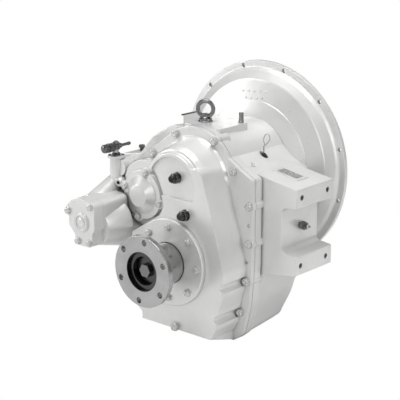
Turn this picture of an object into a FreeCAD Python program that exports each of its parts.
import FreeCAD, Part
import math
import os
import Sketcher

# Marine reversing gearbox with two oil-cooled clutch packs, as hung on an engine by its bell.
# Frame: origin at the centre of the engine-side flange face, on the input axis.
# +Y points to the engine, -Y to the propeller shaft, +Z up, +X to the starboard mounting pad.
# Axial sizes are distances from the engine face towards the output, so they run along -Y.

SIZES = {
    # engine flange and bell, to the SAE 1 housing standard
    "bell_radius": 276.25, "bell_rim": 11.0, "bell_holes_radius": 265.1, "bell_hole": 5.95,
    "bell_hole_count": 12, "spigot_radius": 255.59, "spigot_height": 5.0, "bell_mouth": 246.0,
    "bell_root": 258.0, "shoulder_radius": 252.0, "shoulder_depth": 20.0, "ridge_radius": 229.0,
    "ridge_depth": 35.0, "step_radius": 173.0, "step_depth": 41.0, "step_height": 4.0,
    "neck_radius": 128.0, "neck_depth": 52.0, "bell_wall": 10.0,
    # gear train
    "gear_module": 5.0, "pinion_teeth": 26, "bull_teeth": 54, "transfer_teeth": 29,
    "pump_gear_teeth": 17, "pump_angle": 27.5, "backlash": 0.5, "gear_start": 95.0,
    "gear_width": 55.0, "transfer_start": 252.0, "transfer_width": 36.0, "tip_gap": 6.5,
    # case behind the parting face
    "case_start": 40.0, "parting": 280.0, "gasket": 1.0, "cavity_start": 88.0,
    "arch_radius": 131.0, "arch_height": 10.0, "arch_from": 30.0, "arch_to": 118.0,
    "case_side": 193.0, "case_port": 262.0, "case_bottom": 410.0, "case_foot": 136.0,
    "band_start": 256.0, "cove_x": 105.0,
    "case_draft": 14.0, "sump_half": 122.0, "sump_floor": 364.0, "bolt_inset": 13.0, "boss_radius": 14.2,
    # side mounting brackets
    "pad_x": 300.0, "pad_rear": 99.0, "pad_width": 153.0, "pad_top": 16.0, "pad_bottom": 208.0,
    "ledge_height": 49.0, "recess_depth": 47.0, "bracket_rise": 25.0, "bracket_root": 150.0,
    "mount_hole": 7.0, "mount_depth": 32.0, "mount_spacing_y": 107.95, "mount_spacing_z": 177.8,
    # lifting pad on top
    "pad_level": 137.0, "top_pad_left": 134.0, "top_pad_right": 60.0, "top_pad_rear": 150.0,
    "top_pad_front": 262.0,
    # front cover
    "flange_thick": 12.0, "dome_root": 113.0, "dome_shoulder": 96.0, "dome_front": 369.0,
    "nose_radius": 88.0, "nose_rim": 11.0, "dish_depth": 7.0, "cover_front": 384.0, "cover_wall": 12.0, "reverse_boss": 90.0,
    "reverse_face": 334.0, "pump_ear": 62.0, "pump_seat": 306.0, "bearing_lip": 12.0, "bolt_radius": 6.0,
    "bolt_head": 10.5, "head_height": 8.0, "bolt_depth": 34.0,
    # output end
    "output_face": 496.0, "coupling_radius": 94.0, "coupling_thick": 16.0, "coupling_holes": 78.8,
    "coupling_hole": 8.0, "coupling_turn": 22.4, "coupling_pilot": 51.0, "pilot_depth": 9.0, "hub_radius": 53.5,
    "retainer_radius": 116.0, "retainer_thick": 12.0, "retainer_bolts": 95.0, "shaft_radius": 40.0,
    "output_bearing": 75.0, "front_bearing": 334.0, "bearing_width": 32.0, "rear_bearing": 62.5,
    "rear_bearing_start": 64.0, "rear_bearing_width": 24.0, "rear_journal": 35.0,
    "seal_radius": 66.0, "seal_width": 10.0, "tail_radius": 33.0,
    # clutch shafts
    "journal": 22.5, "race_radius": 42.5, "race_width": 19.0, "race_rear": 66.0,
    "race_front": 303.0, "hub_shaft": 26.0, "bush_wall": 2.2, "spline_radius": 20.0,
    "spline_end": 14.0, "spline_depth": 3.0, "drum_radius": 70.0, "drum_wall": 6.0,
    "drum_start": 158.0, "drum_back": 236.0, "drum_floor": 8.0, "pinion_hub": 39.5, "pinion_hub_end": 208.5, "collar_radius": 34.0,
    "collar_start": 208.8, "collar_end": 300.0, "fit": 0.05,
    "plate_thick": 3.0, "plate_gap": 1.2, "plate_count": 5, "plate_start": 170.0,
    "piston_start": 214.0, "piston_thick": 16.0, "piston_travel": 3.0, "chamber_depth": 366.0, "run_gap": 0.3,
    # reverse bearing cap
    "cap_radius": 66.0, "cap_ear": 63.5, "cap_ear_radius": 14.0, "cap_thick": 16.0,
    "cap_bulge": 52.0, "cap_disc": 28.5, "cap_rise": 17.0, "cap_turn": 77.0,
    # oil pump
    "adapter_radius": 46.0, "adapter_length": 60.0, "adapter_flange": 10.0,
    "lug_reach": 53.0, "lug_radius": 9.0, "lug_thick": 10.0, "lug_screw": 4.0, "lug_head": 6.4,
    "lug_screw_depth": 11.0, "pump_half_width": 54.0, "pump_up": 52.0,
    "pump_down": 78.0, "pump_lean": 17.0, "flare_x": 15.0, "flare_z": 32.0, "flare_radius": 77.0,
    "flare_taper": 8.0, "hood_taper": 14.0, "pump_length": 80.0, "pump_cover_thick": 34.0, "pump_module": 3.5,
    "pump_teeth": 12, "pump_gear_width": 60.0, "pump_shaft": 11.0, "pump_disc": 26.0,
    # selector valve
    "valve_x": 232.0, "valve_z": 4.0, "valve_radius": 25.0, "valve_front": 338.0,
    "valve_drop": 46.0, "column_radius": 17.0, "valve_cap": 23.0, "stem_x": 243.0, "stem_y": 335.0,
    "stem_radius": 7.0, "stem_seat": 29.3, "lever_level": 52.0, "lever_hub": 11.0,
    "lever_rise": 14.0, "lever_reach": 52.0, "lever_rod": 4.0, "knob_radius": 12.0,
    "knob_length": 34.0,
    # fittings
    "eye_x": 36.0, "eye_y": 208.0, "eye_ring": 21.0, "eye_turn": 25.0, "eye_wire": 5.5, "eye_collar": 17.0,
    "breather_x": 44.0, "breather_y": 158.0, "breather_radius": 5.0, "breather_height": 26.0,
    "dip_x": 120.0, "dip_y": 157.0, "dip_level": 49.0, "dip_wire": 1.6, "dip_loop": 8.5, "dip_tip": -300.0,
    "port_x": 15.0, "port_z": 25.0, "port_low_x": 49.0, "port_low_z": 66.0, "port_radius": 14.0,
    "sender_y": 171.0, "sender_z": 99.0, "drain_x": 15.0, "drain_z": 374.0,
    "plate_x": 219.0, "plate_y": 172.0, "plate_length": 86.0, "plate_width": 45.0,
    "cap_plug_x": 262.0, "cap_plug_y": 215.0, "cap_plug_radius": 6.0, "eye_thread": 8.0,
    "dip_tube": 6.0, "sender_thread": 7.0, "drain_thread": 9.0, "port_thread": 8.0,
    "dowel_radius": 5.0, "screw_radius": 5.0, "screw_head": 9.2, "screw_height": 7.0,
    "screw_depth": 22.0, "washer_pocket": 22.0, "washer_radius": 37.0, "washer_thick": 7.0,
    "flange_bolt": 12.0, "flange_bolt_head": 18.0, "flange_bolt_height": 13.0,
    "spline_length": 34.0, "pump_bolt_x": 40.0, "pump_bolt_up": 38.0, "pump_bolt_down": 64.0,
}

doc = FreeCAD.newDocument("marine_gearbox")
sheet = doc.addObject("Spreadsheet::Sheet", "sizes")
for row, (name, value) in enumerate(SIZES.items(), start=1):
    sheet.set("A%d" % row, name)
    sheet.set("B%d" % row, str(value))
    sheet.setAlias("B%d" % row, name)
doc.recompute()

UP = FreeCAD.Vector(0, 0, 1)
ACROSS = FreeCAD.Vector(1, 0, 0)
FULL_TURN = 360
TO_OUTPUT = FreeCAD.Rotation(ACROSS, 90)
TO_STARBOARD = FreeCAD.Rotation(FreeCAD.Vector(0, 1, 0), 90)
parts = []


# A number that also knows how it is worked out from the sheet's cells
class Size:
    def __init__(self, value, text):
        self.value = float(value)
        self.text = text

    def __add__(self, other):
        other = size(other)
        return Size(self.value + other.value, "(%s + %s)" % (self.text, other.text))

    def __sub__(self, other):
        other = size(other)
        return Size(self.value - other.value, "(%s - %s)" % (self.text, other.text))

    def __mul__(self, other):
        other = size(other)
        return Size(self.value * other.value, "%s * %s" % (self.text, other.text))

    def __truediv__(self, other):
        other = size(other)
        return Size(self.value / other.value, "(%s) / (%s)" % (self.text, other.text))

    def __rtruediv__(self, other):
        return size(other) / self

    def __neg__(self):
        return Size(-self.value, "(0 - %s)" % self.text)

    def __radd__(self, other):
        return size(other) + self

    def __rsub__(self, other):
        return size(other) - self

    def __rmul__(self, other):
        return size(other) * self


def size(number):
    if isinstance(number, Size):
        return number
    return Size(number, "(%s)" % number)


def root(number):
    return Size(math.sqrt(number.value), "sqrt(%s)" % number.text)


def cosine(degrees):
    degrees = size(degrees)
    return Size(math.cos(math.radians(degrees.value)), "cos((%s) * 1 deg)" % degrees.text)


def sine(degrees):
    degrees = size(degrees)
    return Size(math.sin(math.radians(degrees.value)), "sin((%s) * 1 deg)" % degrees.text)


# The driving sizes by name, read from the sheet
class Cells:
    def __getattr__(self, name):
        return Size(sheet.get(name), "sizes.%s" % name)


d = Cells()


def bind(feature, **sizes):
    for name, value in sizes.items():
        feature.setExpression(name, size(value).text)


# Sets a sub-part's place, tied to the sheet, and its direction
def place(feature, x=0, y=0, z=0, turn=None):
    if turn is not None:
        feature.Placement = FreeCAD.Placement(FreeCAD.Vector(), turn)
    for axis, value in (("x", x), ("y", y), ("z", z)):
        feature.setExpression(".Placement.Base.%s" % axis, size(value).text)
    return feature


def keep(feature, label):
    feature.Label = label
    parts.append(feature)
    return feature


def new_body(label):
    return keep(doc.addObject("PartDesign::Body", label), label)


# A sketch on one of the body's own origin planes, shifted along the plane's normal
def sketch_on(body, role, shift=0):
    plane = next(item for item in body.Origin.OriginFeatures if item.Role == role)
    sketch = body.newObject("Sketcher::SketchObject", "Sketch")
    sketch.AttachmentSupport = (plane, [""])
    sketch.MapMode = "FlatFace"
    sketch.setExpression(".AttachmentOffset.Base.z", size(shift).text)
    return sketch


def pin_point(sketch, edge, end, x, y):
    for kind, value in (("DistanceX", x), ("DistanceY", y)):
        number = sketch.addConstraint(Sketcher.Constraint(kind, -1, 1, edge, end, value.value))
        sketch.setExpression("Constraints[%d]" % number, value.text)


def circle(sketch, x, y, radius):
    x, y, radius = size(x), size(y), size(radius)
    centre = FreeCAD.Vector(x.value, y.value, 0)
    edge = sketch.addGeometry(Part.Circle(centre, UP, radius.value))
    number = sketch.addConstraint(Sketcher.Constraint("Radius", edge, radius.value))
    sketch.setExpression("Constraints[%d]" % number, radius.text)
    pin_point(sketch, edge, 3, x, y)


# The two ends and the radius of the arc that rounds a corner between its neighbours
def rounded(before, corner, after, radius):
    arms = []
    for other in (before, after):
        run = (other[0] - corner[0], other[1] - corner[1])
        length = root(run[0] * run[0] + run[1] * run[1])
        arms.append((run[0] / length, run[1] / length))
    lean = arms[0][0] * arms[1][0] + arms[0][1] * arms[1][1]
    back = radius * root((1 + lean) / (1 - lean))
    ends = [(corner[0] + arm[0] * back, corner[1] + arm[1] * back) for arm in arms]
    middle = [arms[0][i].value + arms[1][i].value for i in (0, 1)]
    reach = math.hypot(*middle)
    depth = radius.value / math.sqrt((1 - lean.value) / 2) - radius.value
    inside = [corner[i].value + middle[i] / reach * depth for i in (0, 1)]
    return ends[0], ends[1], inside


# A bow is an arc about a centre, written in an outline between two corners
class Bow:
    def __init__(self, x, y, radius, start, end):
        self.radius = size(radius)
        start, end = size(start), size(end)
        self.ends = [(x + self.radius * cosine(angle), y + self.radius * sine(angle))
                     for angle in (start, end)]
        half = math.radians((start.value + end.value) / 2)
        self.inside = [size(x).value + self.radius.value * math.cos(half),
                       size(y).value + self.radius.value * math.sin(half)]


# A closed outline of corners (x, y) or rounded corners (x, y, radius), with bows between
def outline(sketch, corners):
    plain = []
    for corner in corners:
        if isinstance(corner, Bow):
            plain.append(corner)
        else:
            plain.append(tuple(size(value) for value in corner))

    def near(index, side):
        item = plain[index % len(plain)]
        return item.ends[side] if isinstance(item, Bow) else item

    legs = []
    for index, item in enumerate(plain):
        if isinstance(item, Bow):
            legs.append((item.ends[0], item.ends[1], item.radius, item.inside))
        elif len(item) == 3:
            ends = rounded(near(index - 1, 1), item, near(index + 1, 0), item[2])
            legs.append((ends[0], ends[1], item[2], ends[2]))
        else:
            legs.append((item, item, None, None))
    edges = []
    for index, leg in enumerate(legs):
        start = legs[index - 1][1]
        a = FreeCAD.Vector(start[0].value, start[1].value, 0)
        b = FreeCAD.Vector(leg[0][0].value, leg[0][1].value, 0)
        edge = sketch.addGeometry(Part.LineSegment(a, b))
        edges.append((edge, 1, 2, start, None))
        if leg[2] is not None:
            c = FreeCAD.Vector(leg[1][0].value, leg[1][1].value, 0)
            middle = FreeCAD.Vector(leg[3][0], leg[3][1], 0)
            arc = Part.Arc(b, middle, c)
            edge = sketch.addGeometry(arc)
            forward = sketch.getPoint(edge, 1).distanceToPoint(b) < 1e-6
            first, last = (1, 2) if forward else (2, 1)
            edges.append((edge, first, last, leg[0], leg[2]))
    for index, (edge, first, last, start, radius) in enumerate(edges):
        following = edges[(index + 1) % len(edges)]
        sketch.addConstraint(Sketcher.Constraint("Coincident", edge, last, following[0], following[1]))
        pin_point(sketch, edge, first, start[0], start[1])
        if radius is not None:
            number = sketch.addConstraint(Sketcher.Constraint("Radius", edge, radius.value))
            sketch.setExpression("Constraints[%d]" % number, radius.text)


def feature_on(body, kind, sketch, **sizes):
    feature = body.newObject("PartDesign::%s" % kind, kind)
    feature.Profile = (sketch, [""])
    bind(feature, **sizes)
    body.Tip = feature
    sketch.Visibility = False
    return feature


def pad(body, sketch, length, backwards=False):
    feature = feature_on(body, "Pad", sketch, Length=length)
    feature.Reversed = backwards
    return feature


def pocket(body, sketch, length, backwards=False):
    feature = feature_on(body, "Pocket", sketch, Length=length)
    feature.Reversed = backwards
    return feature


def turn_about(body, kind, sketch, axis="V_Axis"):
    feature = feature_on(body, kind, sketch)
    feature.ReferenceAxis = (sketch, [axis])
    feature.Angle = FULL_TURN
    return feature


# A piece turned about an axis parallel to Y, from (radius, distance) points
def turned(label, points, x=0, z=0):
    body = new_body(label)
    sketch = sketch_on(body, "XY_Plane")
    outline(sketch, [(item[0], -size(item[1])) + tuple(item[2:]) for item in points])
    turn_about(body, "Revolution", sketch)
    place(body, x, 0, z)
    return body


def ring(label, inner, outer, start, width, x=0, z=0):
    start = size(start)
    return turned(label, [(inner, start), (outer, start), (outer, start + width),
                          (inner, start + width)], x, z)


def cylinder(radius, height, x, y, z, turn=TO_OUTPUT):
    rod = doc.addObject("Part::Cylinder", "Rod")
    bind(rod, Radius=radius, Height=height)
    return place(rod, x, y, z, turn)


def hexagon(radius, height, x, y, z, turn=TO_OUTPUT):
    head = doc.addObject("Part::Prism", "Hexagon")
    head.Polygon = 6
    bind(head, Circumradius=radius, Height=height)
    return place(head, x, y, z, turn)


def fused(pieces, label="Joined"):
    joined = doc.addObject("Part::MultiFuse", label)
    joined.Shapes = pieces
    return joined


def group(pieces, label):
    together = doc.addObject("Part::Compound", label)
    together.Links = pieces
    return keep(together, label)


# One hex bolt whose head sits on a face and whose shank runs into the joint
def bolt(x, seat, z, shank, head, height, length):
    body = cylinder(shank, length + height, x, -(seat - length), z)
    return fused([body, hexagon(head, height, x, -size(seat), z)])


# The tooth outline of a spur gear: true involute flanks, thinned by the backlash
def gear_face(teeth, module, phase, backlash):
    pitch = module * teeth / 2
    base = pitch * math.cos(math.radians(20))
    tip = pitch + module
    foot = pitch - 1.25 * module
    half = math.pi / (2 * teeth) - backlash / (2 * pitch)
    start_radius = max(base, foot)

    def roll(radius):
        angle = math.acos(min(1.0, base / radius))
        return math.tan(angle) - angle

    flank = [start_radius + (tip - start_radius) * share for share in (0.0, 0.35, 0.7, 1.0)]
    offsets = [(radius, half + roll(pitch) - roll(radius)) for radius in flank]
    if foot < start_radius:
        offsets.insert(0, (foot, offsets[0][1]))
    points = []
    for tooth in range(teeth):
        middle = math.radians(phase) + 2 * math.pi * tooth / teeth
        for radius, offset in offsets:
            points.append((radius, middle - offset))
        for radius, offset in reversed(offsets):
            points.append((radius, middle + offset))
    corners = [FreeCAD.Vector(r * math.cos(a), 0, r * math.sin(a)) for r, a in points]
    corners.append(corners[0])
    return Part.Face(Part.makePolygon(corners))


# The phase that a gear needs so that its gap meets the tooth of the gear that drives it
def meshing_phase(phase, teeth, direction, own_teeth):
    lag = (direction - phase) % (FULL_TURN / teeth)
    return direction + 180 + lag * teeth / own_teeth + 180 / own_teeth


def gear(label, teeth, module, start, width, bore, phase, x, z, extras=()):
    solid = gear_face(int(teeth.value), module.value, phase, d.backlash.value).extrude(
        FreeCAD.Vector(0, -width.value, 0))
    solid.translate(FreeCAD.Vector(0, -start.value, 0))
    for radius, extra_start, length in extras:
        solid = solid.fuse(Part.makeCylinder(radius.value, length.value,
                                             FreeCAD.Vector(0, -extra_start.value, 0),
                                             FreeCAD.Vector(0, -1, 0)))
    if bore is not None:
        reach = 2 * d.parting.value
        hole = Part.makeCylinder(bore.value, reach, FreeCAD.Vector(0, 0, 0), FreeCAD.Vector(0, -1, 0))
        solid = solid.cut(hole)
    feature = doc.addObject("Part::Feature", label)
    feature.Shape = solid.removeSplitter()
    place(feature, x, 0, z)
    return keep(feature, label)


# Axes that follow from the gear sizes
drop = d.gear_module * (d.pinion_teeth + d.bull_teeth) / 2
shaft_pitch = d.gear_module * d.transfer_teeth
reverse_x = -(shaft_pitch * root(1 - shaft_pitch * shaft_pitch / (4 * drop * drop)))
reverse_z = -(shaft_pitch * shaft_pitch / (2 * drop))
pump_pitch = d.gear_module * (d.transfer_teeth + d.pump_gear_teeth) / 2
pump_x = reverse_x - pump_pitch * cosine(d.pump_angle)
pump_z = reverse_z - pump_pitch * sine(d.pump_angle)
transfer_tip = shaft_pitch / 2 + d.gear_module
bull_tip = d.gear_module * (d.bull_teeth / 2 + 1)
pump_tip = d.gear_module * (d.pump_gear_teeth / 2 + 1)
idler_shift = d.pump_module * d.pump_teeth * sine(d.pump_lean)
idler_drop = d.pump_module * d.pump_teeth * cosine(d.pump_lean)
output_z = -drop
cover_back = d.parting + d.gasket
seat = cover_back + d.flange_thick
pinion_end = d.gear_start + d.gear_width


# The parting outline, seen from the output end; the port shoulder stands higher on the case
def parting_corners(inset, shoulder):
    side = d.case_side - inset
    port = d.case_port - inset
    foot = d.case_foot - inset
    floor = d.case_bottom - inset
    if shoulder:
        port_top = [(-(port - 148), 126 - inset, 20), (-(port - 80), 84 - inset, 25),
                    (-(port - 34), 34 - inset, 14), (-port, 8 - inset, 14)]
    else:
        port_top = [(-(port - 60), 28 - inset, 40), (-port, -20 - inset, 30)]
    return [
        (foot, -floor, 14), (side - 28, -(floor - 24), 30), (side - 9, -(floor - 100), 120),
        (side, -(floor - 210), 80), (side, 30 - inset, 10), (side - 42, 52 - inset, 30),
        Bow(size(0), d.arch_height, d.arch_radius - inset, d.arch_from, d.arch_to),
        *port_top, (-port, -150, 40), (-(port - 68), -262, 40), (-foot, -floor, 22),
    ]


# Main housing: bell, gear case, two mounting brackets and the lifting pad in one casting
def main_housing():
    body = new_body("main_housing")
    sketch = sketch_on(body, "XZ_Plane", d.case_start)
    outline(sketch, parting_corners(d.case_draft, True))
    front = sketch_on(body, "XZ_Plane", d.band_start)
    outline(front, parting_corners(size(2), True))
    loft = feature_on(body, "AdditiveLoft", sketch)
    loft.Sections = [front]
    loft.Ruled = True
    front.Visibility = False
    for hand, reach in ((1, d.case_side), (-1, d.case_port)):
        cove = sketch_on(body, "YZ_Plane", d.cove_x * hand)
        outline(cove, [(size(-30), size(-262)), (size(-84), size(-285), 14), (size(-92), size(-322), 20),
                       (size(-118), size(-366), 12), (size(-128), size(-420)), (size(-30), size(-420))])
        pocket(body, cove, reach - d.cove_x + 10, backwards=hand > 0)
    heel = sketch_on(body, "YZ_Plane", -d.case_port - 10)
    outline(heel, [(size(-30), size(-318)), (size(-76), size(-352), 16), (size(-108), size(-420)),
                   (size(-30), size(-420))])
    pocket(body, heel, d.case_port + d.case_side + 20, backwards=True)
    band = sketch_on(body, "XZ_Plane", d.band_start)
    outline(band, parting_corners(size(0), False))
    pad(body, band, d.parting - d.band_start)

    bell = sketch_on(body, "XY_Plane")
    wall = d.bell_wall
    outline(bell, [
        (d.spigot_radius, d.spigot_height), (d.spigot_radius, 0), (d.bell_radius, 0),
        (d.bell_radius, -d.bell_rim), (d.bell_root, -d.bell_rim, 4),
        (d.shoulder_radius, -d.shoulder_depth, 8), (d.ridge_radius, -d.ridge_depth, 10),
        (d.step_radius, -d.step_depth), (d.step_radius, -(d.step_depth + d.step_height)),
        (d.neck_radius, -d.neck_depth), (0, -d.neck_depth), (0, -(d.neck_depth - wall)),
        (d.neck_radius, -(d.neck_depth - wall)), (d.step_radius - wall, -(d.step_depth - wall + 4)),
        (d.ridge_radius - wall, -(d.ridge_depth - wall), 8), (d.bell_mouth - 6, -10),
        (d.bell_mouth, 0), (d.bell_mouth, d.spigot_height),
    ])
    turn_about(body, "Revolution", bell)

    for hand in (1, -1):
        bracket = sketch_on(body, "XZ_Plane", d.pad_rear)
        outer = d.pad_x * hand
        inner = d.bracket_root * hand
        throat = (d.pad_x - d.recess_depth) * hand
        top = d.pad_top
        low = -d.pad_bottom
        outline(bracket, [
            (inner, top + d.bracket_rise), (outer, top), (outer, top - d.ledge_height, 3),
            (throat, top - d.ledge_height - 5, 16), (throat, low + d.ledge_height + 5, 16),
            (outer, low + d.ledge_height, 3), (outer, low), (inner, low - d.bracket_rise),
        ])
        pad(body, bracket, d.pad_width)

    lifting = sketch_on(body, "XY_Plane", 40)
    outline(lifting, [(d.top_pad_right, -d.top_pad_rear, 4), (d.top_pad_right, -d.top_pad_front),
                      (-62, -d.top_pad_front, 8), (-d.top_pad_left, -(d.top_pad_rear + 36), 6),
                      (-d.top_pad_left, -(d.top_pad_rear - 18), 4)])
    pad(body, lifting, d.pad_level - 40)

    ear = sketch_on(body, "XZ_Plane", d.parting - 44)
    circle(ear, pump_x, pump_z, d.pump_ear)
    pad(body, ear, 44)

    pads_and_bosses(body)
    cavities = [(size(0), size(0), transfer_tip + d.tip_gap), (reverse_x, reverse_z,
                transfer_tip + d.tip_gap), (size(0), output_z, bull_tip + d.tip_gap)]
    for x, z, radius in cavities:
        hollow = sketch_on(body, "XZ_Plane", d.parting)
        circle(hollow, x, z, radius)
        pocket(body, hollow, d.parting - d.cavity_start)
    hollow = sketch_on(body, "XZ_Plane", d.parting)
    circle(hollow, pump_x, pump_z, pump_tip + 4)
    pocket(body, hollow, d.parting - d.transfer_start + 6)
    hollow = sketch_on(body, "XZ_Plane", d.parting)
    outline(hollow, [(d.sump_half, -d.sump_floor, 20), (d.sump_half, output_z, 10),
                     (-d.sump_half, output_z, 10), (-d.sump_half, -d.sump_floor, 20)])
    pocket(body, hollow, d.parting - d.cavity_start)

    seats = [(size(0), size(0), d.race_radius, d.race_rear), (reverse_x, reverse_z, d.race_radius,
             d.race_rear), (size(0), output_z, d.rear_bearing, d.rear_bearing_start)]
    for x, z, radius, start in seats:
        bore = sketch_on(body, "XZ_Plane", d.cavity_start + 1)
        circle(bore, x, z, radius)
        pocket(body, bore, d.cavity_start + 1 - start)
    bore = sketch_on(body, "XZ_Plane", d.race_rear + 1)
    circle(bore, 0, 0, d.journal + 12)
    pocket(body, bore, d.race_rear)

    holes = sketch_on(body, "XZ_Plane", d.bell_rim + 1)
    step = FULL_TURN / d.bell_hole_count
    for number in range(int(d.bell_hole_count.value)):
        angle = step * (number + 0.5)
        circle(holes, d.bell_holes_radius * cosine(angle), d.bell_holes_radius * sine(angle),
               d.bell_hole)
    pocket(body, holes, d.bell_rim + 2)

    centre_y = -(d.pad_rear + d.pad_width / 2)
    centre_z = (d.pad_top - d.pad_bottom) / 2
    for hand in (1, -1):
        holes = sketch_on(body, "YZ_Plane", d.pad_x * hand)
        for along in (-1, 1):
            for upward in (-1, 1):
                circle(holes, centre_y + d.mount_spacing_y / 2 * along,
                       centre_z + d.mount_spacing_z / 2 * upward, d.mount_hole)
        pocket(body, holes, d.mount_depth, backwards=hand < 0)
    hole_set(body, "XZ_Plane", d.parting + 1, cover_bolt_spots(), d.bolt_radius + d.fit,
             d.bolt_depth + 1)
    hole_set(body, "XZ_Plane", d.parting + 1, dowel_spots(), d.dowel_radius + d.fit, 13)
    housing_fittings(body)
    return body




# Where the cover bolts stand, clear of the gears and about one inset inside the parting outline
def cover_bolt_spots():
    side = d.case_side - d.bolt_inset
    floor = d.case_bottom - d.bolt_inset
    arch = d.arch_radius - 8
    return [
        (arch * cosine(57), d.arch_height + arch * sine(57)), (size(131), size(44)),
        (side + 3, size(-38)), (side + 3, size(-137)), (side - 3, size(-238)), (side - 22, 71 - floor),
        (size(58), -floor), (size(-58), -floor), (-(d.case_foot + 9), 52 - floor),
        (-(d.case_port - 85), size(-258)), (-(d.case_port - 38), size(-190)),
        (size(-146), size(50)), (arch * cosine(122), d.arch_height + arch * sine(122)),
    ]


# Rear cavities that the housing, gasket and cover share: (x, z, radius)
def gear_cavities():
    room = transfer_tip + d.tip_gap
    return [(size(0), size(0), room), (reverse_x, reverse_z, room),
            (pump_x, pump_z, pump_tip + 4)]


def hole_set(body, role, shift, spots, radius, depth, backwards=False):
    sketch = sketch_on(body, role, shift)
    for x, y in spots:
        circle(sketch, x, y, radius)
    return pocket(body, sketch, depth, backwards)


def boss_set(body, shift, spots, radius, length):
    sketch = sketch_on(body, "XZ_Plane", shift)
    for x, y in spots:
        circle(sketch, x, y, radius)
    pad(body, sketch, length)


# Threaded holes in the housing for the fittings that screw into it
def housing_fittings(body):
    hole_set(body, "XY_Plane", d.pad_level, [(-d.eye_x, -d.eye_y)], d.eye_thread, 24)
    hole_set(body, "XY_Plane", d.pad_level, [(d.breather_x, -d.breather_y)], d.breather_radius, 16)
    hole_set(body, "XY_Plane", d.dip_level + 30, [(d.dip_x, -d.dip_y)], d.dip_tube + 5, 30)
    hole_set(body, "XY_Plane", d.dip_level + 12, [(d.dip_x, -d.dip_y)], d.dip_tube,
             d.dip_level + 12 - output_z / 2 + 40)
    hole_set(body, "XY_Plane", d.pad_top + 30, [(-d.cap_plug_x, -d.cap_plug_y)], d.cap_plug_radius, 44)
    hole_set(body, "YZ_Plane", d.pad_x - d.recess_depth + 2, [(-d.sender_y, -d.sender_z)],
             d.sender_thread, 24)


def pads_and_bosses(body):
    boss_set(body, d.parting - 34, cover_bolt_spots(), d.boss_radius, 34)


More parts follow.
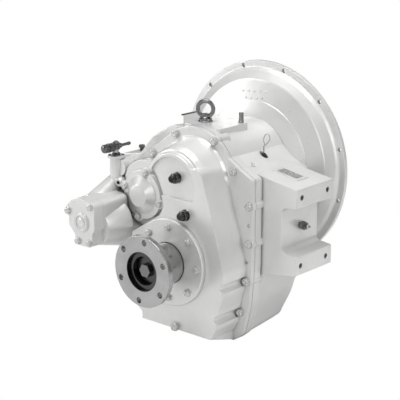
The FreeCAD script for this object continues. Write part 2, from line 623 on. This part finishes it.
# The front cover: parting flange, stepped clutch dome, gear block, bearing bosses and pump ear
def front_cover():
    body = new_body("front_cover")
    flange = sketch_on(body, "XZ_Plane", cover_back)
    outline(flange, parting_corners(size(0), False))
    pad(body, flange, d.flange_thick)
    boss_set(body, cover_back, cover_bolt_spots(), d.boss_radius, d.flange_thick)

    dome = sketch_on(body, "XY_Plane")
    outline(dome, [
        (0, 2 - seat), (d.dome_root + 5, 2 - seat), (d.dome_root, -(seat + 8), 8),
        (d.dome_shoulder + 5, 16 - d.dome_front, 20), (d.dome_shoulder - 2, -d.dome_front, 5),
        (d.nose_radius, -d.dome_front, 4), (d.nose_radius - 1, -d.cover_front, 3),
        (0, -d.cover_front),
    ])
    turn_about(body, "Revolution", dome)

    block = sketch_on(body, "XZ_Plane", seat - 2)
    side = d.case_side
    foot = d.case_foot
    outline(block, [
        (98, 60, 20), (side - 35, -130, 150), (side - 17, -200, 40), (side - 22, -262, 20),
        (side - 34, -300, 15), (side - 40, -350, 20), (foot - 1, -383, 14), (0, -383, 8),
        (-16, -366, 10), (44 - foot, -372, 28), (-(foot - 6), -345, 20), (-(foot + 16), -230, 50),
        (-foot, -130, 30), (-84, -60, 20), (-80, 40, 10),
    ])
    pad(body, block, d.cover_front - seat + 2)
    apron = sketch_on(body, "YZ_Plane", 30 - foot)
    outline(apron, [(1 - seat, 2 - d.case_bottom), (-d.cover_front, size(-382)), (-d.cover_front, size(-340)),
                    (1 - seat, size(-340))])
    pad(body, apron, 2 * foot - 32)
    for x, z, radius, front in ((reverse_x, reverse_z, d.reverse_boss, d.reverse_face),
                                (pump_x, pump_z, d.pump_ear, d.pump_seat)):
        boss = sketch_on(body, "XZ_Plane", cover_back)
        circle(boss, x, z, radius)
        pad(body, boss, front - cover_back)

    gear_end = d.transfer_start + d.transfer_width + 8
    race_end = d.race_front + d.race_width
    bores = [(x, z, radius, gear_end) for x, z, radius in gear_cavities()[:2]]
    bores += [
        (pump_x, pump_z, pump_tip + 4, gear_end - 4),
        (size(0), size(0), d.race_radius, race_end), (size(0), size(0), d.race_radius - 7,
                                                      d.chamber_depth),
        (reverse_x, reverse_z, d.race_radius, d.reverse_face + 1),
        (size(0), output_z, d.output_bearing + 20, d.front_bearing - 8),
        (size(0), output_z, d.output_bearing, d.cover_front + 1),
        (pump_x, pump_z, d.pump_shaft + 6, d.pump_seat + 1),
    ]
    for x, z, radius, end in bores:
        hollow = sketch_on(body, "XZ_Plane", cover_back - 1)
        circle(hollow, x, z, radius)
        pocket(body, hollow, end - cover_back + 1, backwards=True)
    dish = sketch_on(body, "XZ_Plane", d.cover_front + 1)
    outline(dish, [Bow(size(0), size(0), d.nose_radius - d.nose_rim, -22, 202)])
    pocket(body, dish, d.dish_depth + 1)
    sump = sketch_on(body, "XZ_Plane", cover_back - 1)
    outline(sump, [(d.sump_half, -350, 14), (d.sump_half + 20, -262, 10), (-d.sump_half + 6, -262, 10),
                   (-d.sump_half + 14, -346, 14)])
    pocket(body, sump, d.cover_front - d.cover_wall - cover_back + 1, backwards=True)

    spots = cover_bolt_spots()
    hole_set(body, "XZ_Plane", d.cover_front + 1, spots, d.bolt_head + 2.5,
             d.cover_front + 1 - seat)
    hole_set(body, "XZ_Plane", seat + 1, spots, d.bolt_radius + 0.5, d.flange_thick + 2)
    hole_set(body, "XZ_Plane", seat + 1, dowel_spots(), d.dowel_radius + d.fit, d.flange_thick + 2)
    cap_room = sketch_on(body, "XZ_Plane", d.cover_front + 1)
    outline(cap_room, [
        (reverse_x, reverse_z + 96, 5), (reverse_x + 73, reverse_z + 88, 34),
        (reverse_x + 99, reverse_z + 32, 30), (reverse_x + 109, reverse_z - 4, 12),
        (reverse_x + 94, reverse_z - 32, 14), (reverse_x + 55, reverse_z - 56, 14),
        (reverse_x - 10, reverse_z - 98, 5), (reverse_x - 100, reverse_z - 98, 5),
        (reverse_x - 100, reverse_z + 96, 5),
    ])
    pocket(body, cap_room, d.cover_front + 1 - d.reverse_face)
    neck_room = sketch_on(body, "XZ_Plane", d.cover_front + 1)
    circle(neck_room, pump_x, pump_z, d.adapter_radius + 2)
    pocket(body, neck_room, d.cover_front + 1 - d.pump_seat)
    valve_room = sketch_on(body, "XZ_Plane", d.cover_front + 1)
    outline(valve_room, valve_corners(size(1)))
    pocket(body, valve_room, d.cover_front + 1 - seat)
    barrel_room = sketch_on(body, "XZ_Plane", d.cover_front + 1)
    circle(barrel_room, -d.valve_x, d.valve_z, d.valve_radius + 1)
    pocket(body, barrel_room, d.cover_front + 1 - seat)
    hole_set(body, "XZ_Plane", d.cover_front + 1, retainer_spots(), d.screw_radius + d.fit,
             d.screw_depth + 1)
    hole_set(body, "XZ_Plane", d.reverse_face + 1, cap_spots(), d.screw_radius + d.fit,
             d.screw_depth + 1)
    hole_set(body, "XZ_Plane", d.cover_front + 1, [(d.port_x, d.port_z)], d.port_thread + d.fit,
             15 + d.dish_depth)
    hole_set(body, "XZ_Plane", d.cover_front + 1, [(d.port_low_x, -d.port_low_z)],
             d.port_thread + d.fit, 15)
    hole_set(body, "XZ_Plane", d.cover_front + 1, [(d.drain_x, -d.drain_z)], d.drain_thread + d.fit, 15)
    hole_set(body, "XZ_Plane", d.pump_seat + 1, lug_spots(), d.lug_screw + d.fit,
             d.lug_screw_depth + 1)
    return body


def around(count, radius, turn, x=0, z=0):
    step = FULL_TURN / size(count)
    return [(x + radius * cosine(step * number + turn), z + radius * sine(step * number + turn))
            for number in range(int(size(count).value))]


def retainer_spots():
    return around(8, d.retainer_bolts, size(0), size(0), output_z)


def cap_spots():
    return around(4, d.cap_ear, d.cap_turn, reverse_x, reverse_z)


def pump_holes():
    return [(-(d.pump_bolt_x + 4), d.pump_bolt_up - 27), (d.pump_bolt_x, d.pump_bolt_up - 4),
            (d.pump_bolt_x - 6, -d.pump_bolt_down), (32 - d.pump_bolt_x, -(d.pump_bolt_down + 2))]


def pump_spots():
    return [(pump_x + x, pump_z + z) for x, z in pump_holes()]


def valve_corners(room):
    half = d.valve_radius - 5 + room
    low = d.valve_drop - 6 + room
    return [(-(d.valve_x - half), d.valve_z, 4), (-(d.valve_x + half), d.valve_z, 4),
            (-(d.valve_x + half), -low, 8), (-(d.valve_x - half), -low, 8)]


# The two screw lugs of the pump adapter, square to the line between the pump and reverse axes
def lug_spots(x=pump_x, z=pump_z):
    across = d.pump_angle + 90
    return [(x + d.lug_reach * cosine(across) * hand, z + d.lug_reach * sine(across) * hand)
            for hand in (1, -1)]


# A ring of hex screws through a plate into the casting behind it
def screw_group(label, spots, face, radius, head, height, length):
    return group([bolt(x, face, z, radius, head, height, length) for x, z in spots], label)


def gasket():
    body = new_body("cover_gasket")
    sheet_outline = sketch_on(body, "XZ_Plane", d.parting)
    outline(sheet_outline, parting_corners(size(0), False))
    pad(body, sheet_outline, d.gasket)
    openings = gear_cavities() + [(size(0), output_z, bull_tip + d.tip_gap)]
    for x, z, radius in openings:
        hollow = sketch_on(body, "XZ_Plane", d.parting + d.gasket + 1)
        circle(hollow, x, z, radius)
        pocket(body, hollow, d.gasket + 2)
    hollow = sketch_on(body, "XZ_Plane", d.parting + d.gasket + 1)
    outline(hollow, [(d.sump_half, -350, 14), (d.sump_half, -262, 10), (-d.sump_half + 6, -262, 10),
                     (-d.sump_half + 14, -346, 14)])
    pocket(body, hollow, d.gasket + 2)
    hole_set(body, "XZ_Plane", d.parting + d.gasket + 1, cover_bolt_spots(), d.bolt_radius + 0.5,
             d.gasket + 2)
    hole_set(body, "XZ_Plane", d.parting + d.gasket + 1, dowel_spots(), d.dowel_radius + d.fit,
             d.gasket + 2)


def output_retainer():
    lip = d.hub_radius + 0.8
    start = d.cover_front
    end = start + d.retainer_thick
    seal_end = end - 4
    body = turned("output_retainer", [
        (lip, end), (d.retainer_radius, end, 2), (d.retainer_radius, start),
        (d.output_bearing - d.fit, start), (d.output_bearing - d.fit, start - 17),
        (d.seal_radius, start - 17), (d.seal_radius, seal_end), (lip, seal_end),
    ], 0, output_z)
    sketch = sketch_on(body, "XZ_Plane", end + 1)
    for x, y in around(8, d.retainer_bolts, size(0), size(0), size(0)):
        circle(sketch, x, y, d.screw_radius + 0.5)
    pocket(body, sketch, d.retainer_thick + 2)
    ring("output_seal", d.hub_radius + d.fit, d.seal_radius - d.fit, seal_end - d.seal_width - 1,
         d.seal_width, 0, output_z)
    screw_group("retainer_bolts", retainer_spots(), end, d.screw_radius, d.screw_head, d.screw_height,
                d.retainer_thick + d.screw_depth)


def output_shaft():
    bearing_end = d.front_bearing + d.bearing_width
    tail_end = d.output_face - d.pilot_depth - d.washer_pocket - 2
    body = turned("output_shaft", [
        (0, d.rear_bearing_start + 2), (d.rear_journal, d.rear_bearing_start + 2),
        (d.rear_journal, d.gear_start - 3), (d.shaft_radius, d.gear_start - 3),
        (d.shaft_radius, pinion_end), (d.shaft_radius + 10, pinion_end),
        (d.shaft_radius + 10, pinion_end + 6), (d.shaft_radius + 4, pinion_end + 6),
        (d.shaft_radius + 4, d.front_bearing), (d.shaft_radius, d.front_bearing),
        (d.shaft_radius, bearing_end + 1), (d.tail_radius, bearing_end + 1),
        (d.tail_radius, tail_end), (d.flange_bolt, tail_end), (d.flange_bolt, tail_end - 40),
        (0, tail_end - 40),
    ], 0, output_z)
    gear("bull_gear", d.bull_teeth, d.gear_module, d.gear_start, d.gear_width, d.shaft_radius + d.fit,
         90, 0, output_z)
    cup = d.output_bearing - d.fit
    ring("output_front_cup", cup - 12, cup, d.front_bearing, d.bearing_width, 0, output_z)
    rear_cup = d.rear_bearing - d.fit
    ring("output_rear_cup", rear_cup - 9, rear_cup, d.rear_bearing_start, d.rear_bearing_width, 0,
         output_z)
    cones = [(d.shaft_radius + d.fit, cup - 12.6, d.front_bearing, d.bearing_width),
             (d.rear_journal + d.fit, rear_cup - 9.6, d.rear_bearing_start + 2,
              d.rear_bearing_width - 2)]
    group([plain_ring(inner, outer, start, width, 0, output_z) for inner, outer, start, width
           in cones], "output_bearing_cones")

    recess = d.output_face - d.pilot_depth
    floor = recess - d.washer_pocket
    coupling = turned("output_flange", [
        (d.tail_radius + d.fit, bearing_end + 1.5), (d.hub_radius, bearing_end + 1.5),
        (d.hub_radius, d.output_face - d.coupling_thick, 5),
        (d.coupling_radius, d.output_face - d.coupling_thick, 1.5),
        (d.coupling_radius, d.output_face, 1.5), (d.coupling_pilot, d.output_face),
        (d.coupling_pilot, recess), (d.washer_radius + 1, recess), (d.washer_radius + 1, floor),
        (d.tail_radius + d.fit, floor),
    ], 0, output_z)
    sketch = sketch_on(coupling, "XZ_Plane", d.output_face + 1)
    for x, y in around(6, d.coupling_holes, d.coupling_turn, size(0), size(0)):
        circle(sketch, x, y, d.coupling_hole)
    pocket(coupling, sketch, d.coupling_thick + 2)
    ring("flange_washer", d.flange_bolt + 0.5, d.washer_radius, floor, d.washer_thick, 0, output_z)
    head_seat = floor + d.washer_thick
    length = head_seat - tail_end + 38
    screw_group("flange_bolt", [(size(0), output_z)], head_seat, d.flange_bolt - d.fit,
                d.flange_bolt_head, d.flange_bolt_height, length)


def plain_ring(inner, outer, start, width, x, z):
    whole = cylinder(outer, width, x, -size(start), z)
    hole = cylinder(inner, width + 2, x, 1 - size(start), z)
    cut = doc.addObject("Part::Cut", "Ring")
    cut.Base = whole
    cut.Tool = hole
    return cut


# One clutch shaft: shaft, drum, transfer gear, plates, piston and the free pinion
def clutch_shaft(side, x, z, tail, transfer_phase, pinion_phase):
    front = d.race_front + d.race_width
    turned("%s_shaft" % side, tail + [
        (d.journal, d.race_rear), (d.journal, d.cavity_start + 2),
        (d.hub_shaft, d.cavity_start + 2), (d.hub_shaft, d.collar_start),
        (d.collar_radius, d.collar_start), (d.collar_radius, d.collar_end),
        (d.journal, d.collar_end), (d.journal, front), (0, front),
    ], x, z)
    races = [(d.journal + d.fit, d.race_rear), (d.journal + d.fit, d.race_front)]
    inner = [plain_ring(bore, d.journal + 7, start, d.race_width, x, z) for bore, start in races]
    group(inner, "%s_bearing_inners" % side)
    sleeve = d.collar_radius + d.fit
    floor_end = d.drum_back + d.drum_floor
    turned("%s_drum" % side, [
        (sleeve, floor_end), (d.drum_radius, floor_end, 3), (d.drum_radius, d.drum_start),
        (d.drum_radius - d.drum_wall, d.drum_start), (d.drum_radius - d.drum_wall, d.drum_back),
        (sleeve, d.drum_back),
    ], x, z)
    gear("%s_transfer_gear" % side, d.transfer_teeth, d.gear_module, d.transfer_start,
         d.transfer_width, sleeve, transfer_phase, x, z,
         [(d.collar_radius + 12, floor_end, d.transfer_start - floor_end)])
    pitch = (d.plate_thick + d.plate_gap) * 2
    plates = [(d.plate_start + pitch * number) for number in range(int(d.plate_count.value))]
    outer = d.drum_radius - d.drum_wall - d.fit
    steel = [plain_ring(d.pinion_hub + 5, outer, start + d.plate_thick + d.plate_gap,
                        d.plate_thick, x, z) for start in plates]
    steel.append(plain_ring(d.pinion_hub + 2, outer, d.drum_start + 1, 7, x, z))
    group(steel, "%s_steel_plates" % side)
    friction = [plain_ring(d.pinion_hub + d.fit, outer - 3, start, d.plate_thick, x, z)
                for start in plates]
    group(friction, "%s_friction_plates" % side)
    ring("%s_piston" % side, d.collar_radius + d.run_gap, d.drum_radius - d.drum_wall - d.run_gap,
         d.piston_start, d.piston_thick, x, z)
    bush = d.hub_shaft + d.bush_wall
    gear("%s_pinion" % side, d.pinion_teeth, d.gear_module, d.gear_start, d.gear_width,
         bush, pinion_phase, x, z, [(d.pinion_hub, pinion_end, d.pinion_hub_end - pinion_end)])
    ring("%s_pinion_bush" % side, d.hub_shaft + d.fit, bush - d.fit, d.gear_start + 1,
         d.pinion_hub_end - d.gear_start - 2, x, z)


def clutch_shafts():
    to_reverse = math.degrees(math.atan2(reverse_z.value, reverse_x.value))
    forward_phase = to_reverse
    teeth = d.transfer_teeth.value
    reverse_phase = meshing_phase(forward_phase, teeth, to_reverse, teeth)
    bull = d.bull_teeth.value
    pinion = d.pinion_teeth.value
    from_output = math.degrees(math.atan2(reverse_z.value - output_z.value, reverse_x.value))
    tail = [(0, d.spline_end), (d.spline_radius, d.spline_end, 2),
            (d.spline_radius, d.spline_end + d.spline_length),
            (d.spline_radius + 1, d.spline_end + d.spline_length), (d.spline_radius + 1, d.race_rear)]
    clutch_shaft("forward", size(0), size(0), tail, forward_phase,
                 meshing_phase(90, bull, 90, pinion))
    clutch_shaft("reverse", reverse_x, reverse_z, [(0, d.race_rear)], reverse_phase,
                 meshing_phase(90, bull, from_output, pinion))
    spots = [(x, z, start) for x, z in ((size(0), size(0)), (reverse_x, reverse_z))
             for start in (d.race_rear, d.race_front)]
    outer = d.race_radius - d.fit
    group([plain_ring(d.journal + 7.6, outer, start, d.race_width, x, z) for x, z, start in spots],
          "clutch_bearing_outers")
    ring("input_seal", d.spline_radius + 1 + d.fit, d.journal + 12 - d.fit, d.race_rear - 12, 8)
    return reverse_phase


def reverse_cap():
    seat_face = d.reverse_face
    face = seat_face + d.cap_thick
    body = new_body("reverse_bearing_cap")
    plate = sketch_on(body, "XZ_Plane", seat_face)
    circle(plate, 0, 0, d.cap_radius)
    pad(body, plate, d.cap_thick)
    for x, y in around(4, d.cap_ear, d.cap_turn, size(0), size(0)):
        ear = sketch_on(body, "XZ_Plane", seat_face)
        circle(ear, x, y, d.cap_ear_radius)
        pad(body, ear, d.cap_thick)
    bulge = sketch_on(body, "XY_Plane")
    outline(bulge, [(0, 2 - face), (d.cap_bulge, 2 - face), (d.cap_bulge, -(face + 1), 4),
                    (d.cap_disc, -(face + d.cap_rise), 3), (0, -(face + d.cap_rise))])
    turn_about(body, "Revolution", bulge)
    hole_set(body, "XZ_Plane", face + 1, around(4, d.cap_ear, d.cap_turn, size(0), size(0)),
             d.screw_radius + 0.5, d.cap_thick + 2)
    place(body, reverse_x, 0, reverse_z)
    screw_group("cap_bolts", cap_spots(), face, d.screw_radius, d.screw_head, d.screw_height,
                d.cap_thick + d.screw_depth)


def pump_corners(inset):
    half = d.pump_half_width - inset
    top = d.pump_up - inset
    low = d.pump_down - inset
    return [
        (-(half - 2), top - 30, 9), (-(half - 22), top - 10, 12), (-(half - 44), top, 16),
        (half, top - 6, 16), (half, -(low - 50), 12), (half - 8, -(low - 40), 6),
        (half - 8, -low, 14), (-(half - 35), -low, 14), (-(half - 33), -(low - 28), 8),
        (-(half - 11), -(low - 50), 14), (-(half - 11), top - 54, 4), (-(half + 2), top - 50, 8),
    ]


def oil_pump(reverse_phase):
    start = d.pump_seat
    adapter = new_body("pump_adapter")
    neck = sketch_on(adapter, "XZ_Plane", start)
    circle(neck, 0, 0, d.adapter_radius)
    pad(adapter, neck, d.adapter_length)
    flare = sketch_on(adapter, "XZ_Plane", start)
    circle(flare, d.flare_x, -d.flare_z, d.flare_radius)
    tapered = feature_on(adapter, "Pad", flare, Length=d.adapter_length, TaperAngle=-d.flare_taper)
    cap_side = sketch_on(adapter, "XZ_Plane", start + d.adapter_length + 1)
    circle(cap_side, reverse_x - pump_x, reverse_z - pump_z, d.reverse_boss + 0.5)
    pocket(adapter, cap_side, d.adapter_length + 2)
    again = sketch_on(adapter, "XZ_Plane", start)
    circle(again, 0, 0, d.adapter_radius)
    pad(adapter, again, d.adapter_length)
    lugs = lug_spots(size(0), size(0))
    foot = sketch_on(adapter, "XZ_Plane", start)
    outline(foot, [(lugs[0][0] * 1.18, lugs[0][1] * 1.18, d.lug_radius), (-40, 6, 18), (-34, -34, 12),
                   (lugs[1][0] * 1.18, lugs[1][1] * 1.18, d.lug_radius), (12, -6, 5)])
    pad(adapter, foot, d.lug_thick)
    for x, z in lugs:
        lug = sketch_on(adapter, "XZ_Plane", start)
        circle(lug, x, z, d.lug_radius)
        pad(adapter, lug, d.lug_thick)
    body_start = start + d.adapter_length
    face = sketch_on(adapter, "XZ_Plane", body_start - d.adapter_flange)
    outline(face, pump_corners(size(0)))
    pad(adapter, face, d.adapter_flange)
    bore = sketch_on(adapter, "XZ_Plane", start - 1)
    circle(bore, 0, 0, d.pump_shaft + 4)
    pocket(adapter, bore, d.adapter_length + 2, backwards=True)
    hole_set(adapter, "XZ_Plane", body_start + 1, pump_holes(), d.screw_radius + d.fit,
             d.adapter_flange + 2)
    hole_set(adapter, "XZ_Plane", body_start + 1, lugs, d.lug_head + 0.8,
             d.adapter_length - d.lug_thick + 1)
    hole_set(adapter, "XZ_Plane", start + d.lug_thick + 1, lugs, d.lug_screw + 0.3,
             d.lug_thick + 2)
    place(adapter, pump_x, 0, pump_z)
    screw_group("adapter_screws", lug_spots(), start + d.lug_thick, d.lug_screw, d.lug_head,
                d.screw_height, d.lug_thick + d.lug_screw_depth)
    body_end = body_start + d.pump_length
    axes = [(size(0), size(0)), (idler_shift, -idler_drop)]
    body = new_body("pump_body")
    shell = sketch_on(body, "XZ_Plane", body_start)
    outline(shell, pump_corners(size(0)))
    pad(body, shell, d.pump_length)
    hood = sketch_on(body, "XZ_Plane", body_start)
    circle(hood, d.flare_x, -d.flare_z, d.flare_radius - d.adapter_length * 0.1405)
    feature_on(body, "Pad", hood, Length=d.pump_length - 6, TaperAngle=-d.hood_taper)
    for x, z in axes:
        chamber = sketch_on(body, "XZ_Plane", body_end + 1)
        circle(chamber, x, z, d.pump_module * (d.pump_teeth / 2 + 1) + d.run_gap)
        pocket(body, chamber, d.pump_gear_width + 2)
    bore = sketch_on(body, "XZ_Plane", body_end + 1)
    circle(bore, 0, 0, d.pump_shaft + d.fit * 2)
    pocket(body, bore, d.pump_length + 2)
    bore = sketch_on(body, "XZ_Plane", body_end + 1)
    circle(bore, idler_shift, -idler_drop, d.pump_shaft + d.fit * 2)
    pocket(body, bore, d.pump_length - 10)
    holes = pump_holes()
    hole_set(body, "XZ_Plane", body_end + 1, holes, d.screw_radius + 0.5, d.pump_length + 2)
    place(body, pump_x, 0, pump_z)

    cover = new_body("pump_cover")
    face = sketch_on(cover, "XZ_Plane", body_end)
    outline(face, pump_corners(size(1)))
    pad(cover, face, d.pump_cover_thick)
    disc = sketch_on(cover, "XZ_Plane", body_end + d.pump_cover_thick - 1)
    circle(disc, 7, -13, d.pump_disc)
    pad(cover, disc, 4)
    for x, z in axes:
        bore = sketch_on(cover, "XZ_Plane", body_end - 1)
        circle(bore, x, z, d.pump_shaft + d.fit * 2)
        pocket(cover, bore, 21, backwards=True)
    hole_set(cover, "XZ_Plane", body_end + d.pump_cover_thick + 1, holes, d.screw_radius + 0.5,
             d.pump_cover_thick + 2)
    place(cover, pump_x, 0, pump_z)
    screw_group("pump_bolts", pump_spots(), body_end + d.pump_cover_thick, d.screw_radius,
                d.screw_head, d.screw_height, d.pump_cover_thick + d.pump_length + 9)

    rotor_start = body_end - d.pump_gear_width
    shaft_end = body_end + 18
    teeth = d.transfer_teeth.value
    phase = meshing_phase(reverse_phase, teeth, 180 + d.pump_angle.value, d.pump_gear_teeth.value)
    shaft_start = d.transfer_start - 4
    gear("pump_drive_gear", d.pump_gear_teeth, d.gear_module, d.transfer_start, d.transfer_width,
         None, phase, pump_x, pump_z, [(d.pump_shaft, shaft_start, shaft_end - shaft_start)])
    rotor_phase = d.pump_lean.value - 90
    gear("pump_rotor", d.pump_teeth, d.pump_module, rotor_start + 0.3, d.pump_gear_width - 0.6,
         d.pump_shaft + d.fit, rotor_phase, pump_x, pump_z)
    gear("pump_idler_rotor", d.pump_teeth, d.pump_module, rotor_start + 0.3, d.pump_gear_width - 0.6,
         None, rotor_phase + 180 + 180 / d.pump_teeth.value, pump_x + idler_shift,
         pump_z - idler_drop,
         [(d.pump_shaft, rotor_start - 8, shaft_end - rotor_start + 8)])


def selector_valve():
    body = new_body("valve_body")
    barrel = sketch_on(body, "XZ_Plane", seat)
    circle(barrel, -d.valve_x, d.valve_z, d.valve_radius)
    pad(body, barrel, d.valve_front - seat)
    block = sketch_on(body, "XZ_Plane", seat)
    outline(block, valve_corners(size(0)))
    pad(body, block, d.valve_front - seat - 9)
    tower = sketch_on(body, "XY_Plane", -d.valve_drop)
    circle(tower, -d.stem_x, -d.stem_y, d.column_radius)
    pad(body, tower, d.stem_seat + d.valve_drop)
    bore = sketch_on(body, "XY_Plane", d.stem_seat + 1)
    circle(bore, -d.stem_x, -d.stem_y, d.stem_radius + d.fit)
    pocket(body, bore, d.stem_seat - d.valve_z + 5)
    lid = plain_ring(d.stem_radius + 0.4, d.valve_cap, 0, 6, size(0), size(0))
    lid.Placement = FreeCAD.Placement(FreeCAD.Vector(), FreeCAD.Rotation(ACROSS, -90))
    place(lid, -d.stem_x, -d.stem_y, d.stem_seat)
    keep(lid, "valve_end_cap")

    stem_low = d.valve_z
    stem = cylinder(d.stem_radius, d.lever_level + d.lever_rise + 3 - stem_low, -d.stem_x, -d.stem_y,
                    stem_low, FreeCAD.Rotation())
    keep(stem, "shift_stem")
    lever = new_body("shift_lever")
    hub = sketch_on(lever, "XY_Plane")
    circle(hub, 0, 0, d.lever_hub)
    pad(lever, hub, d.lever_rise)
    arm = sketch_on(lever, "XZ_Plane", -d.lever_reach)
    circle(arm, 0, d.lever_rise / 2, d.lever_rod)
    pad(lever, arm, d.lever_reach + d.lever_hub - 3)
    bore = sketch_on(lever, "XY_Plane", d.lever_rise + 1)
    circle(bore, 0, 0, d.stem_radius + d.fit)
    pocket(lever, bore, d.lever_rise + 2)
    place(lever, -d.stem_x, -d.stem_y, d.lever_level)
    nut = hexagon(d.knob_radius, d.knob_length, -d.stem_x, -(d.stem_y + d.lever_hub + 0.3),
                  d.lever_level + d.lever_rise / 2)
    keep(nut, "lever_nut")


# A turned or hexagonal fitting built up along one direction from its threaded end
def stacked(label, x, y, z, turn, steps):
    way = turn.multVec(UP)
    gone = size(0)
    pieces = []
    for kind, radius, length in steps:
        make = hexagon if kind == "hex" else cylinder
        pieces.append(make(radius, length, x + gone * way.x, y + gone * way.y, z + gone * way.z, turn))
        gone = gone + length
    return keep(fused(pieces, label), label)


def eye_bolt():
    base = d.pad_level
    turn = FreeCAD.Rotation()
    shank = cylinder(d.eye_thread - d.fit, 22, -d.eye_x, -d.eye_y, base - 22, turn)
    collar = cylinder(d.eye_collar, 8, -d.eye_x, -d.eye_y, base, turn)
    neck = cylinder(d.eye_wire + 3, 12, -d.eye_x, -d.eye_y, base + 8, turn)
    eye = doc.addObject("Part::Torus", "Eye")
    bind(eye, Radius1=d.eye_ring, Radius2=d.eye_wire)
    place(eye, -d.eye_x, -d.eye_y, base + 12 + d.eye_ring,
          FreeCAD.Rotation(UP, d.eye_turn.value).multiply(TO_OUTPUT))
    keep(fused([shank, collar, neck, eye], "eye_bolt"), "eye_bolt")


def dipstick():
    turn = FreeCAD.Rotation()
    top = d.dip_level + d.run_gap
    reach = top + 34
    stick = cylinder(d.dip_wire, reach - d.dip_tip, d.dip_x, -d.dip_y, d.dip_tip, turn)
    bung = doc.addObject("Part::Cone", "Bung")
    bind(bung, Radius1=d.dip_tube + 3, Radius2=3, Height=14)
    place(bung, d.dip_x, -d.dip_y, top)
    loop = doc.addObject("Part::Torus", "Loop")
    bind(loop, Radius1=d.dip_loop, Radius2=d.dip_wire)
    place(loop, d.dip_x, -d.dip_y, top + 30 + d.dip_loop, TO_OUTPUT)
    keep(fused([stick, bung, loop], "dipstick"), "dipstick")


def fittings():
    eye_bolt()
    dipstick()
    upright = FreeCAD.Rotation()
    stacked("breather", d.breather_x, -d.breather_y, d.pad_level - 14, upright,
            [("round", d.breather_radius - d.fit, 18), ("round", d.breather_radius + 1,
                                                        d.breather_height - 4)])
    stacked("bracket_plug", -d.cap_plug_x, -d.cap_plug_y, d.pad_top - 8, upright,
            [("round", d.cap_plug_radius - d.fit, 24), ("hex", d.cap_plug_radius + 3, 7)])
    stacked("temperature_sender", d.pad_x - d.recess_depth - 14, -d.sender_y, -d.sender_z,
            TO_STARBOARD, [("round", d.sender_thread - d.fit, 20), ("hex", 12, 9),
                           ("round", 9, 5), ("round", 5, 3)])
    front = d.cover_front
    stacked("drain_plug", d.drain_x, 12 - front, -d.drain_z, TO_OUTPUT,
            [("round", d.drain_thread, 12), ("hex", d.drain_thread + 3.5, 10)])
    ports = [(d.port_x, d.port_z, d.cover_front - d.dish_depth),
             (d.port_low_x, -d.port_low_z, d.cover_front)]
    plugs = []
    for x, z, front in ports:
        plugs.append(fused([cylinder(d.port_thread, 12, x, 12 - front, z),
                            hexagon(d.port_radius, 13, x, -front, z),
                            cylinder(d.port_radius - 4, 22, x, -front, z)]))
    group(plugs, "port_plugs")
    plate = doc.addObject("Part::Box", "data_plate")
    bind(plate, Length=d.plate_length, Width=d.plate_width, Height=0.8)
    slope = -math.degrees(math.atan2(d.bracket_rise.value, d.pad_x.value - d.bracket_root.value))
    middle = d.pad_top + d.bracket_rise * (d.pad_x - d.plate_x) / (d.pad_x - d.bracket_root)
    lean = FreeCAD.Rotation(FreeCAD.Vector(0, 1, 0), -slope)
    rise = d.plate_length / 2 * d.bracket_rise / (d.pad_x - d.bracket_root)
    place(plate, d.plate_x - d.plate_length / 2, -(d.plate_y + d.plate_width / 2), middle + rise, lean)
    keep(plate, "data_plate")
    pins = [cylinder(d.dowel_radius, 23, x, 12 - d.parting, z) for x, z in dowel_spots()]
    group(pins, "dowel_pins")


def dowel_spots():
    side = d.case_side - d.bolt_inset
    return [(side + 2, size(-89)), (side - 3, size(-187)), (-(d.case_foot + 32), size(-295))]


main_housing()
front_cover()
gasket()
output_retainer()
output_shaft()
turned_phase = clutch_shafts()
reverse_cap()
oil_pump(turned_phase)
selector_valve()
fittings()
screw_group("cover_bolts", cover_bolt_spots(), seat, d.bolt_radius, d.bolt_head, d.head_height,
            d.flange_thick + d.bolt_depth)

doc.recompute()
for item in doc.Objects:
    if "Invalid" in item.State or "Error" in item.State:
        raise RuntimeError("%s could not be built: %s" % (item.Label, item.State))
for part in parts:
    if part.Shape.isNull() or not part.Shape.isValid():
        raise RuntimeError("%s has no valid shape" % part.Label)
os.makedirs("parts", exist_ok=True)
for part in parts:
    part.Shape.exportStep("parts/%s.step" % part.Label)
    print(part.Label, len(part.Shape.Solids), round(part.Shape.Volume / 1000, 1), "cm3")
